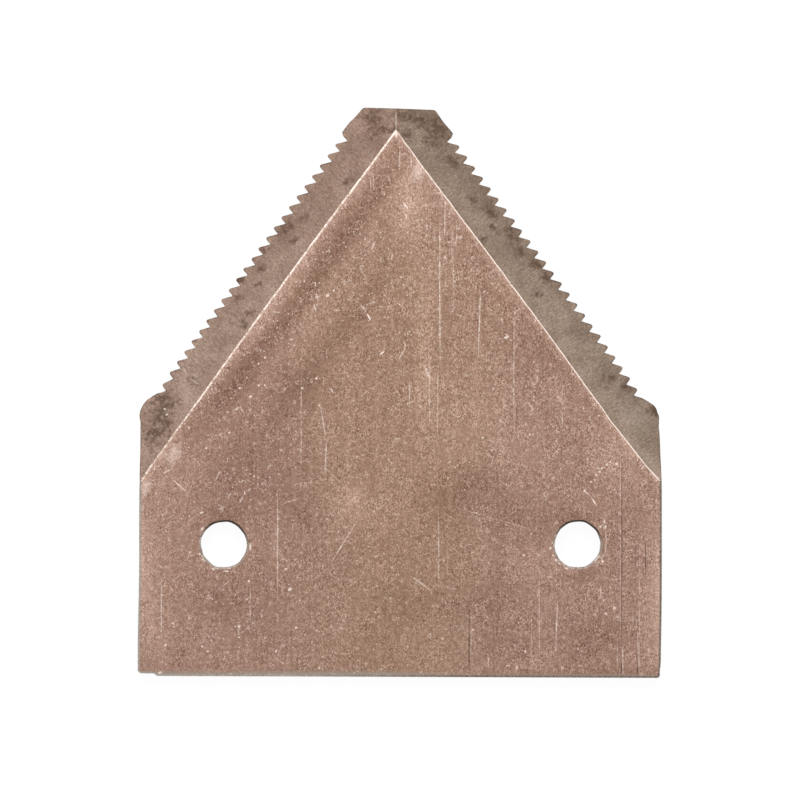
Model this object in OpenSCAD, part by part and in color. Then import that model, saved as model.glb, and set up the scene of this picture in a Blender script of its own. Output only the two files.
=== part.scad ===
// Mower knife section: a flat steel blade with a squared shank and a blunt, tapering point.
// Both slanting edges are ground to a bevel from the top face and serrated by V grooves in the underside.
// The origin lies midway between the bolt holes on the underside, with +Y to the tip and +Z to the bevelled face.

/* [Blade] */
// Width across the parallel sides
blade_w = 75; // [70:0.5:80]
// Length from the heel to the tip
blade_l = 81.6; // [76:0.2:90]
// Thickness of the steel
blade_t = 3; // [2:0.1:4]
// Length of the parallel shank, from the heel to the shoulders
shank_l = 38.1; // [34:0.1:44]
// Width of the blunt tip
tip_w = 10.6; // [8:0.2:14]
// Corner radius of the heel
heel_r = 0.6; // [0.2:0.1:2]
// Corner radius of the shoulders
shoulder_r = 3.4; // [1:0.1:6]
// Corner radius of the tip
tip_r = 0.7; // [0.2:0.1:1.5]

/* [Bevel] */
// Width of the ground bevel, square to the cutting edge
bevel_w = 6.1; // [4:0.1:8]
// Thickness left at the unserrated cutting edge
edge_t = 0.1; // [0.05:0.05:0.3]

/* [Serration] */
// Spacing of the grooves along the blade
groove_pitch = 1.5; // [1.2:0.1:2.5]
// Depth of a groove at the cutting edge
groove_depth = 0.88; // [0.5:0.02:1.2]
// Angle between the walls of a groove
groove_angle = 111; // [90:1:125]
// Angle by which the outer end of a groove leans towards the tip
groove_skew = 15; // [0:1:30]
// Length of a groove, from the cutting edge to where it runs out on the underside
groove_run = 6.5; // [4:0.5:10]
// Plain edge between the tip and the centre of the first groove
tip_plain = 4.3; // [3:0.1:8]
// Plain edge between the shoulder and the centre of the last groove, at least
shoulder_plain = 2.2; // [1.5:0.1:6]

/* [Bolt holes] */
// Diameter of a bolt hole
hole_d = 6.6; // [5:0.1:8]
// Distance between the centres of the bolt holes
hole_spacing = 50.8; // [44:0.1:54]
// Distance from the heel to the centres of the bolt holes
hole_to_heel = 19; // [14:0.5:22]
// Rounded-over rim that the punch leaves on the top face
hole_break = 0.3; // [0.1:0.05:0.6]

/* [Hidden] */
$fn = 96;

half_w = blade_w / 2;
half_tip = tip_w / 2;
heel_y = -hole_to_heel;
tip_y = heel_y + blade_l;
shoulder_y = heel_y + shank_l;
// Slant of the cutting edges from the centreline, and of the bevels from the underside
edge_angle = atan((half_w - half_tip) / (tip_y - shoulder_y));
bevel_angle = atan((blade_t - edge_t) / bevel_w);
// Slope at which a groove rises out of the underside
groove_slope = atan(groove_depth / groove_run);
groove_count = 1 + floor((tip_y - shoulder_y - tip_plain - shoulder_plain) / groove_pitch);
// Distance by which a cutting tool overshoots the steel
overshoot = blade_t;

// Half width of the unserrated point at a place along the blade
function edge_x(y) = half_tip + (tip_y - y) * tan(edge_angle);
// Distance from a corner to where its arc starts, for an outline that turns there by an angle
function tangent_length(r, turn) = r * tan(turn / 2);

// Right half of the flat blank: straight stretches between the corner arcs, and the discs that round the corners
module half_outline() {
    shoulder_t = tangent_length(shoulder_r, edge_angle);
    tip_t = tangent_length(tip_r, 90 - edge_angle);
    edge_dir = [sin(edge_angle), -cos(edge_angle)];
    shoulder_start = [half_w, shoulder_y] - shoulder_t * edge_dir;
    tip_start = [half_tip, tip_y] + tip_t * edge_dir;
    polygon([
        [0, heel_y],
        [half_w - heel_r, heel_y],
        [half_w, heel_y + heel_r],
        [half_w, shoulder_y - shoulder_t],
        shoulder_start,
        tip_start,
        [half_tip - tip_t, tip_y],
        [0, tip_y]
    ]);
    translate([half_w - heel_r, heel_y + heel_r]) circle(heel_r);
    translate([half_w - shoulder_r, shoulder_y - shoulder_t]) circle(shoulder_r);
    translate([half_tip - tip_t, tip_y - tip_r]) circle(tip_r);
}

// Sheet steel blank before it is punched and ground
module blank() {
    linear_extrude(blade_t) {
        half_outline();
        mirror([1, 0]) half_outline();
    }
}

// Steel ground away above the right bevel: a block that lies on the bevel plane and hangs over the cutting edge
module bevel_cut() {
    reach = bevel_w / cos(bevel_angle) + overshoot;
    translate([half_w, shoulder_y, edge_t])
        rotate([0, bevel_angle, edge_angle])
            translate([-reach, -blade_l, 0])
                cube([reach + blade_w, 2 * blade_l, 2 * blade_t]);
}

// V groove in the underside at the right edge, leaning towards the tip and running out inwards
module groove(y) {
    wall = groove_depth + overshoot;
    half_mouth = wall * tan(groove_angle / 2);
    translate([edge_x(y), y, groove_depth])
        rotate([0, -groove_slope, groove_skew])
            translate([-groove_run - overshoot, 0, 0])
                rotate([90, 0, 90])
                    linear_extrude(groove_run + 2 * overshoot)
                        polygon([[0, 0], [half_mouth, -wall], [-half_mouth, -wall]]);
}

// Row of grooves along the right edge, counted from the tip
module serration() {
    for (i = [0 : groove_count - 1]) groove(tip_y - tip_plain - i * groove_pitch);
}

// Punched hole on the right, with its rim eased on the top face
module bolt_hole() {
    translate([hole_spacing / 2, 0, 0]) {
        translate([0, 0, -overshoot]) cylinder(d = hole_d, h = blade_t + 2 * overshoot);
        translate([0, 0, blade_t - hole_break])
            cylinder(d1 = hole_d, d2 = hole_d + 4 * hole_break, h = 2 * hole_break);
    }
}

// Whole section, one piece of steel
module knife_section() {
    color("rosybrown")
        difference() {
            blank();
            for (side = [0, 1]) mirror([side, 0, 0]) {
                bevel_cut();
                serration();
                bolt_hole();
            }
        }
}

knife_section();
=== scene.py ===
from math import atan, atan2, cos, degrees, exp, hypot, pi, radians, sin

import bpy
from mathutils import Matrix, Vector, noise


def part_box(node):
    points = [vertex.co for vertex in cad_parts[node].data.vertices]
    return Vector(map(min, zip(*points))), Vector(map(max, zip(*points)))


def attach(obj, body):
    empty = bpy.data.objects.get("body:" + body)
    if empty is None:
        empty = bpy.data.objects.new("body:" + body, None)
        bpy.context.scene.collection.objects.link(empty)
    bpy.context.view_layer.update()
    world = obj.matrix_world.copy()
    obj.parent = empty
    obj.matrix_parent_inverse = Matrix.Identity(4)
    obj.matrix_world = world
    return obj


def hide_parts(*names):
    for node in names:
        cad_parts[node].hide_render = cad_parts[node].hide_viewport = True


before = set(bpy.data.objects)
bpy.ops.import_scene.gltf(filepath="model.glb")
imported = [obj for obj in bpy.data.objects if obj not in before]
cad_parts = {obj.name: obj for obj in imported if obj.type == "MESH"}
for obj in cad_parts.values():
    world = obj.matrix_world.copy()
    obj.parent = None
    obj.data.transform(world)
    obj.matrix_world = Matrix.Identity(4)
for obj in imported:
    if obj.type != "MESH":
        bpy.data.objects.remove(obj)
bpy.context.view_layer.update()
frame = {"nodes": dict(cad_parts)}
mm = 0.001
print("frame loaded:", ", ".join(frame["nodes"]))

# Sizes of the blade in mm. Its outline comes from the frame, the rest is read off the worn blade.
blade = {
    "node": "knife_section",
    "name": "serratedKnifeBlade",
    "slot": "blade_steel",
    "shank": 38.1,                         # heel to shoulders
    "tipWidth": 10.6,
    "bevelWidth": 6.1,                     # ground bevel, square to the cutting edge
    "bevelNormal": (0.345, 0.903),         # how far the bevels face sideways and up
    "boltX": 25.4,
    "boltRim": 3.6,                        # radius where the eased hole rim meets the top face
    "ridgeBreak": 0.13,                    # half width of the burr along the ridges
    "edgeBreak": 0.32,                     # rounding of the top edges of the shank
    "rubbedHeel": (-16, 8),                # between these the rubbing along the heel dies out to the right
    "rubbedSide": -36,                     # left of this the top edge is rubbed all along
    "toothBlunt": 0.42,                    # wear at the points of the teeth
    "toothRim": 0.2,                       # darker rim along the teeth
    "cutStep": 0.75,                       # spacing of the cuts that let the flat faces bend
    "nickCuts": (-35.4, -35.0, -34.55),    # closer cuts across the left end of the heel
    "earCuts": (34.2, 34.8, 35.3, 35.6, 35.9, 36.2, 36.5, 36.8, 37.1),    # and across both shoulders
    "merge": 0.002,                        # corners this close are one
    "flat": 0.3,                           # degrees up to which neighbouring faces are one
    "crease": 8,                           # and from which an edge is sharp
    "smooth": 30,
}
touch = 0.01    # places this close in mm count as the same

low, high = (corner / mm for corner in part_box(blade["node"]))
halfWidth, thickness = high.x, high.z
heelY, tipY = low.y, high.y
shoulderY = heelY + blade["shank"]
edgeSlope = (halfWidth - blade["tipWidth"] / 2) / (tipY - shoulderY)  # run outwards per mm towards the heel
edgeAngle = atan(edgeSlope)
apexY = tipY - (blade["bevelWidth"] / cos(edgeAngle) - blade["tipWidth"] / 2) / edgeSlope


def pastRidge(x, y):
    # distance outwards from the nearer ridge, seen from above
    return (abs(x) - (apexY - y) * edgeSlope) * cos(edgeAngle)


def fade(value, start, end):
    # smooth step from 0 at start to 1 at end
    t = min(max((value - start) / (end - start), 0.0), 1.0)
    return t * t * (3 - 2 * t)


def bell(value, middle, reach):
    return exp(-((value - middle) / reach) ** 2)


def pick(kind, rule, sharp=None):
    # leaves the active piece in edit mode with only the parts selected that pass the rule
    mesh = bpy.context.object.data
    bpy.ops.object.mode_set(mode="EDIT")
    bpy.ops.mesh.select_mode(type=kind)
    bpy.ops.mesh.select_all(action="DESELECT")
    if sharp:
        bpy.ops.mesh.edges_select_sharp(sharpness=sharp)
    bpy.ops.object.mode_set(mode="OBJECT")
    parts = {"VERT": mesh.vertices, "EDGE": mesh.edges, "FACE": mesh.polygons}
    chosen = [part.index for part in parts[kind] if (part.select or not sharp) and rule(part)]
    for group in parts.values():
        group.foreach_set("select", [False] * len(group))
    for i in chosen:
        parts[kind][i].select = True
    bpy.ops.object.mode_set(mode="EDIT")


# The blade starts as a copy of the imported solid, merged back to whole flat faces
knife = bpy.data.objects.new(blade["name"], frame["nodes"][blade["node"]].data.copy())
bpy.context.collection.objects.link(knife)
bpy.ops.object.select_all(action="DESELECT")
knife.select_set(True)
bpy.context.view_layer.objects.active = knife
knife.data.materials.clear()
bpy.ops.mesh.customdata_custom_splitnormals_clear()
bpy.ops.object.mode_set(mode="EDIT")
bpy.ops.mesh.select_all(action="SELECT")
bpy.ops.mesh.remove_doubles(threshold=blade["merge"] * mm)
bpy.ops.mesh.dissolve_limited(angle_limit=radians(blade["flat"]), use_dissolve_boundaries=False)
bpy.ops.object.mode_set(mode="OBJECT")


def endsOf(edge):
    return [knife.data.vertices[i].co / mm for i in edge.vertices]


def onShankTop(edge):
    # top edges of the heel and the sides, without the bolt holes
    ends = endsOf(edge)
    onTop = all(p.z > thickness - touch for p in ends)
    alongRidge = all(abs(pastRidge(p.x, p.y)) < touch for p in ends)
    nearBolt = all(hypot(abs(p.x) - blade["boltX"], p.y) < blade["boltRim"] + 0.1 for p in ends)
    return onTop and not alongRidge and not nearBolt


def onRidge(edge):
    # ridges between land and bevels. The short one from the apex to the tip stays sharp.
    return all(p.z > thickness - touch and abs(pastRidge(p.x, p.y)) < 0.2 for p in endsOf(edge))


def onToothPoint(vert):
    # outer corners of the teeth, low on the bevel and a little inside the plain edge
    x, y, z = vert.co / mm
    outside = pastRidge(x, y) - blade["bevelWidth"]
    return shoulderY < y < tipY - 2 and -0.4 < outside < -0.2 and 0.1 < z < 0.4


pick("VERT", onToothPoint)
bpy.ops.mesh.bevel(offset=blade["toothBlunt"] * mm, segments=4, affect="VERTICES", clamp_overlap=False)

# An inset along the bevels, the two large tilted faces, gives the teeth their dark rim
pick("FACE", lambda face: 0.8 < face.normal.z < 0.95 and face.area > 100 * mm * mm)
bpy.ops.mesh.inset(thickness=blade["toothRim"] * mm, use_even_offset=True, use_individual=True)

crease = radians(blade["crease"])
pick("EDGE", onShankTop, sharp=crease)
bpy.ops.mesh.bevel(offset=blade["edgeBreak"] * mm, segments=3, profile=0.5, affect="EDGES",
                   clamp_overlap=False)
pick("EDGE", onRidge, sharp=crease)
bpy.ops.mesh.bevel(offset=blade["ridgeBreak"] * mm, segments=2, profile=0.5, affect="EDGES",
                   clamp_overlap=False)

# Straight cuts across the whole blade
for axis, start, end in ((0, low.x, high.x), (1, low.y, high.y)):
    count = int((end - start) / blade["cutStep"])
    cuts = [start + (end - start) * i / count for i in range(1, count)]
    if axis == 0:
        cuts += list(blade["nickCuts"]) + [side * cut for cut in blade["earCuts"] for side in (-1, 1)]
    for cut in cuts:
        place = [0, 0, 0]
        place[axis] = cut * mm
        bpy.ops.mesh.select_all(action="SELECT")
        bpy.ops.mesh.bisect(plane_co=place, plane_no=(axis == 0, axis == 1, 0))
bpy.ops.object.mode_set(mode="OBJECT")
print("blade cut to", len(knife.data.polygons), "faces")

# How this blade departs from the drawn one, in mm. Three numbers are an amount and the places between which
# it comes in, or the middle and reach of a hump. Places by the tip and the heel are counted from there, and
# pairs called reach outwards from the plain cutting edge.
specimen = {
    "lean": (-0.46, 17, 58),               # the point leans to the left
    "toothed": (3, 36),                    # where the teeth start above the shoulders, and how far they go
    "bulge": 0.15,                         # the cutting edges bow outwards half way along
    "toothOut": 0.18,                      # the teeth stand out
    "upperToothOut": 0.15,                 # the upper ones more
    "topToothLess": (0.65, -4.2, -3.2),    # those by the tip less, by this share
    "toothReach": (-1.2, -0.45),
    "toothUneven": 0.14,                   # the teeth aren't all as long
    "unevenReach": (-1.3, -0.3),
    "shoulderIn": (0.08, 21, 6),           # the shoulders stand in
    "rightLowIn": (0.15, 20.5, 22),        # so do the last teeth on the right
    "rightLowEnd": (23, 32),
    "rightLowReach": (-2.5, -1),
    "ear": (35.9, 21.25),                  # drawn corner of the plain edge below the last tooth
    "earLow": (0.28, 0.1),                 # that edge is worn low, left and right
    "earLowHump": (-1.6, 1.1),             # most of all this far inside the corner
    "earLowReach": (-2.5, -0.8),
    "earRound": (0.4, 0.3),                # the corner itself is worn round, left and right
    "earRoundReach": 0.7,
    "earRoundShare": (0.5, 0.8),           # how much of that goes sideways and lengthways
    "serrationTurn": (0.0125, 6, 24),      # the teeth sit higher on the left
    "tipTurn": 0.02,                       # the tip slopes down to the right
    "tipRise": (0.08, -1.5, 0),
    "tipKnob": (0.15, -3.1, 0.9),          # lump at the lower end of each side of the tip
    "tipKnobReach": (-1.5, 0),
    "tipCut": (0.5, 3, 4.5),               # the left corner of the tip is ground away
    "heelTurn": (0.004, 6, 17),            # the heel slopes down to the right
    "heelNick": (0.36, 34.75, 35.25),      # step at the left end of the heel
    "heelNickHeight": 1.5,
    "sideNick": (0.18, 36.4, 37.2),        # bruise at the right end of the heel
    "sideNickHump": (0.9, 0.7),
    "ridgeShift": -0.2,                    # the land sits to the left
    "ridgeUneven": -0.1,                   # the right bevel is the wider one
    "ridgeLeftLow": (-0.08, 16, 26),       # the left ridge turns outwards at its lower end
    "ridgeReach": 2.5,
    "ridgeEnd": (35.5, 37.3),
    "ridgeWobble": 0.07,                   # the burr isn't straight
    "wobbleReach": 0.6,
    "boltRagged": 0.15,                    # the punched holes aren't quite round
    "waver": 0.7,                          # bends per mm of what is uneven
}

# The sides of the shank, in the same way: the left one opens towards the heel and draws in above the bolts,
# the right one draws in towards both ends
sides = {
    "leftOut": 0.066,
    "leftDrawn": (0.14, 4.5, 14.5),
    "leftOpen": (0.21, 2, 16),
    "leftHump": (0.04, 21, 6),
    "rightOut": 0.03,
    "rightDrawn": (0.2, 7.5, 14.5),
    "rightTaper": (0.036, 14.5),           # slope, and where it starts
    "rightDent": (0.19, 18.4, 1.2),
    "rightCurve": (0.0009, -3, 12.5),      # bend, where it starts and how far it goes
    "rightOpen": (0.28, 17, 20.5),
    "end": (19, 25),
}


def grown(rule, place):
    # amount that comes in between two places
    amount, start, end = rule
    return amount * fade(place, start, end)


def humped(rule, place):
    # amount that dies away on both sides of a place
    amount, centre, reach = rule
    return amount * bell(place, centre, reach)


def sideShift(x, y):
    if x < 0:
        opened = grown(sides["leftOpen"], -y) + humped(sides["leftHump"], y)
        return grown(sides["leftDrawn"], y) - sides["leftOut"] - opened
    slope, taperStart = sides["rightTaper"]
    bend, curveStart, curveLength = sides["rightCurve"]
    drawnIn = grown(sides["rightDrawn"], y) + slope * max(y - taperStart, 0) + humped(sides["rightDent"], y)
    drawnIn += bend * min(max(curveStart - y, 0), curveLength) ** 2
    return sides["rightOut"] + grown(sides["rightOpen"], y) - drawnIn


def uneven(x, y, layer):
    return noise.noise(Vector((x * specimen["waver"], y * specimen["waver"], layer)))


def specimenShift(x, y, z):
    # sideways and lengthways move of a point of the drawn blade
    side = min(max(x / 4, -1.0), 1.0)    # turns over within 4 mm of the middle
    past = pastRidge(x, y)
    outside = past - blade["bevelWidth"]
    firstTooth, toothedLength = specimen["toothed"]
    along = min(max((y - shoulderY - firstTooth) / toothedLength, 0.0), 1.0)

    # point and teeth
    dx = grown(specimen["lean"], y)
    dx += specimen["bulge"] * sin(pi * along) * side
    toothOut = specimen["toothOut"] + specimen["upperToothOut"] * along
    toothOut *= 1 - grown(specimen["topToothLess"], y - tipY)
    dx += toothOut * fade(outside, *specimen["toothReach"]) * side
    dx -= humped(specimen["shoulderIn"], y) * side
    if x > 0:
        lowIn = grown(specimen["rightLowIn"], y) * (1 - fade(y, *specimen["rightLowEnd"]))
        dx -= lowIn * fade(outside, *specimen["rightLowReach"])
    if outside > -1.5 and shoulderY < y < tipY - 1:
        worn = 0.5 + noise.noise(Vector((side * 9, y * specimen["waver"], 3)))
        dx -= specimen["toothUneven"] * side * worn * fade(outside, *specimen["unevenReach"])

    # ridges, with their burr
    ridgeShift = specimen["ridgeShift"] + specimen["ridgeUneven"] * side + grown(specimen["ridgeLeftLow"], -x)
    ridgeShift *= 1 - fade(abs(x), *specimen["ridgeEnd"])
    burr = specimen["ridgeWobble"] * uneven(x, y, 8)
    ridge = ridgeShift * bell(past, 0, specimen["ridgeReach"]) + burr * bell(past, 0, specimen["wobbleReach"])
    dx += ridge * z / thickness

    # sides, and what turns about the middle of the blade
    dx += (abs(x) / halfWidth) ** 4 * (1 - fade(y, *sides["end"])) * sideShift(x, y)
    turn = grown(specimen["heelTurn"], -y) + grown(specimen["serrationTurn"], y)
    turn += specimen["tipTurn"] * fade(y, apexY, tipY)
    dy = -turn * x

    # corners below the last teeth, tip and heel
    earX, earY = specimen["ear"]
    inwards, earReach = specimen["earLowHump"]
    earLow = specimen["earLow"][x > 0] * bell(abs(x), earX + inwards, earReach)
    earLow *= fade(outside, *specimen["earLowReach"])
    fromEar = hypot(abs(x) - earX, y - earY)
    earRound = specimen["earRound"][x > 0] * bell(fromEar, 0, specimen["earRoundReach"])
    dx -= specimen["earRoundShare"][0] * earRound * side
    dy -= earLow + specimen["earRoundShare"][1] * earRound
    dy += grown(specimen["tipRise"], y - tipY)
    dx += humped(specimen["tipKnob"], y - tipY) * fade(outside, *specimen["tipKnobReach"]) * side
    dx += grown(specimen["tipCut"], -x) * fade(y, apexY + 0.7, tipY)
    dy += grown(specimen["heelNick"], -x) * (1 - fade(y, heelY, heelY + specimen["heelNickHeight"]))
    dx -= grown(specimen["sideNick"], x) * bell(y - heelY, *specimen["sideNickHump"])

    # bolt holes
    fromBolt = Vector((x - (blade["boltX"] if x > 0 else -blade["boltX"]), y))
    if fromBolt.length < blade["boltRim"] + 0.05:
        ragged = specimen["boltRagged"] * uneven(x, y, 5)
        dx += ragged * fromBolt.x / fromBolt.length
        dy += ragged * fromBolt.y / fromBolt.length
    return dx, dy


# Which finish each face has, told by its place and normal on the drawn blade
finishes = ("land", "bevel", "ridge", "edge", "rubbed", "punched", "bore", "under", "groove")


def finishOf(face):
    place, normal = face.center / mm, face.normal
    if hypot(abs(place.x) - blade["boltX"], place.y) < blade["boltRim"] and abs(normal.z) < 0.9:
        return "punched" if normal.z > 0.3 else "bore"
    if normal.z > 0.997:
        return "land"
    if normal.z < -0.99:
        return "under"
    if normal.z < -0.05:
        return "groove"
    bevelAside, bevelUp = blade["bevelNormal"]
    if abs(normal.z - bevelUp) < 0.004 and abs(abs(normal.x) - bevelAside) < 0.01:
        return "bevel"
    if normal.z > 0.85 and normal.y > 0.02:
        return "ridge"
    leftSide = place.x < blade["rubbedSide"]
    leftHeel = place.y < heelY + 1 and place.x < blade["rubbedHeel"][1]
    if normal.z > 0.2 and place.z > thickness - blade["edgeBreak"] and (leftSide or leftHeel):
        return "rubbed"
    return "edge"


faceFinish = [finishOf(face) for face in knife.data.polygons]
touching = [set() for vert in knife.data.vertices]
for face, finish in zip(knife.data.polygons, faceFinish):
    face.material_index = finishes.index(finish)
    for i in face.vertices:
        touching[i].add(finish)
pastLayer = knife.data.attributes.new("past", "FLOAT", "POINT")
pastLayer.data.foreach_set("value", [pastRidge(*(vert.co.xy / mm)) for vert in knife.data.vertices])
rimLayer = knife.data.attributes.new("rim", "FLOAT", "POINT")
onRim = [float("bevel" in kinds and bool(kinds & {"edge", "groove"})) for kinds in touching]
rimLayer.data.foreach_set("value", onRim)
for vert in knife.data.vertices:
    x, y, z = vert.co / mm
    dx, dy = specimenShift(x, y, z)
    vert.co += Vector((dx, dy, 0)) * mm
bpy.ops.object.shade_smooth_by_angle(angle=radians(blade["smooth"]))
for face, finish in zip(knife.data.polygons, faceFinish):
    face.use_smooth = finish in ("edge", "rubbed", "punched", "bore")
print("finishes:", {name: faceFinish.count(name) for name in finishes})


def linear(hexColour):
    parts = [int(hexColour[i:i + 2], 16) / 255 for i in (1, 3, 5)]
    return [p / 12.92 if p <= 0.04045 else ((p + 0.055) / 1.055) ** 2.4 for p in parts] + [1.0]


def put(tree, kind, sockets=(), stops=None, **settings):
    # adds a node: settings are its properties, sockets its inputs, each a value or the output that feeds it
    # MapRange runs from 0 at its input 1 to 1 at its input 2, or to its input 4, and stays flat outside
    node = tree.nodes.new("ShaderNode" + kind)
    for key, value in settings.items():
        setattr(node, key, value)
    for key, value in dict(sockets).items():
        if isinstance(value, bpy.types.NodeSocket):
            tree.links.new(value, node.inputs[key])
        else:
            node.inputs[key].default_value = value
    for i, (place, colour) in enumerate(stops or ()):
        ramp = node.color_ramp.elements
        stop = ramp[i] if i < 2 else ramp.new(place)
        stop.position = place
        stop.color = linear(colour)
    return node


def newFinish(name, metallic, roughness):
    # material with its shader, and object coordinates in mm for its patterns
    material = bpy.data.materials.new(name)
    material.use_nodes = True
    tree = material.node_tree
    tree.nodes.clear()
    shader = put(tree, "BsdfPrincipled", {"Metallic": metallic, "Roughness": roughness})
    put(tree, "OutputMaterial", {"Surface": shader.outputs[0]})
    place = put(tree, "TexCoord").outputs["Object"]
    inMm = put(tree, "VectorMath", {0: place, "Scale": 1 / mm}, operation="SCALE").outputs[0]
    return material, tree, shader, inMm


def weighted(tree, start, parts):
    # start plus each pattern times its weight
    total = start
    for pattern, weight in parts:
        total = put(tree, "Math", {0: pattern, 1: weight, 2: total}, operation="MULTIPLY_ADD").outputs[0]
    return total


def grainOf(tree, place, size, detail=2.0, roughness=0.5, longer=1.0, turn=0.0, shift=0.0):
    # cloudy grain of a size in mm, drawn out along a direction given in degrees
    laid = put(tree, "Mapping", {
        "Vector": place, "Location": (shift, shift, shift), "Rotation": (0, 0, radians(turn)),
        "Scale": (longer, 1, 1),
    }, vector_type="TEXTURE").outputs[0]
    return put(tree, "TexNoise", {
        "Vector": laid, "Scale": 1 / size, "Detail": detail, "Roughness": roughness,
    }).outputs["Fac"]


def marksOf(tree, place, marks, joined="MAXIMUM"):
    # spots that fade from the middle out: x, y, half length, half width in mm, turn in degrees
    total = 0.0
    for x, y, halfLength, halfBreadth, turn in marks:
        laid = put(tree, "Mapping", {
            "Vector": place, "Location": (x, y, 0), "Rotation": (0, 0, radians(turn)),
            "Scale": (halfLength, halfBreadth, 1000),
        }, vector_type="TEXTURE").outputs[0]
        spot = put(tree, "TexGradient", {"Vector": laid}, gradient_type="SPHERICAL").outputs["Fac"]
        total = put(tree, "Math", {0: total, 1: spot}, operation=joined).outputs[0]
    return total


def scratchesOf(tree, place, halfBreadth, scratches):
    # scratches from x, y to x, y in mm, as long thin spots of nearly even strength
    marks = []
    for x1, y1, x2, y2 in scratches:
        turn = degrees(atan2(y2 - y1, x2 - x1))
        marks.append(((x1 + x2) / 2, (y1 + y2) / 2, hypot(x2 - x1, y2 - y1) / 2, halfBreadth, turn))
    return put(tree, "MapRange", {0: marksOf(tree, place, marks), 1: 0.0, 2: 0.4}).outputs[0]


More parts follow.
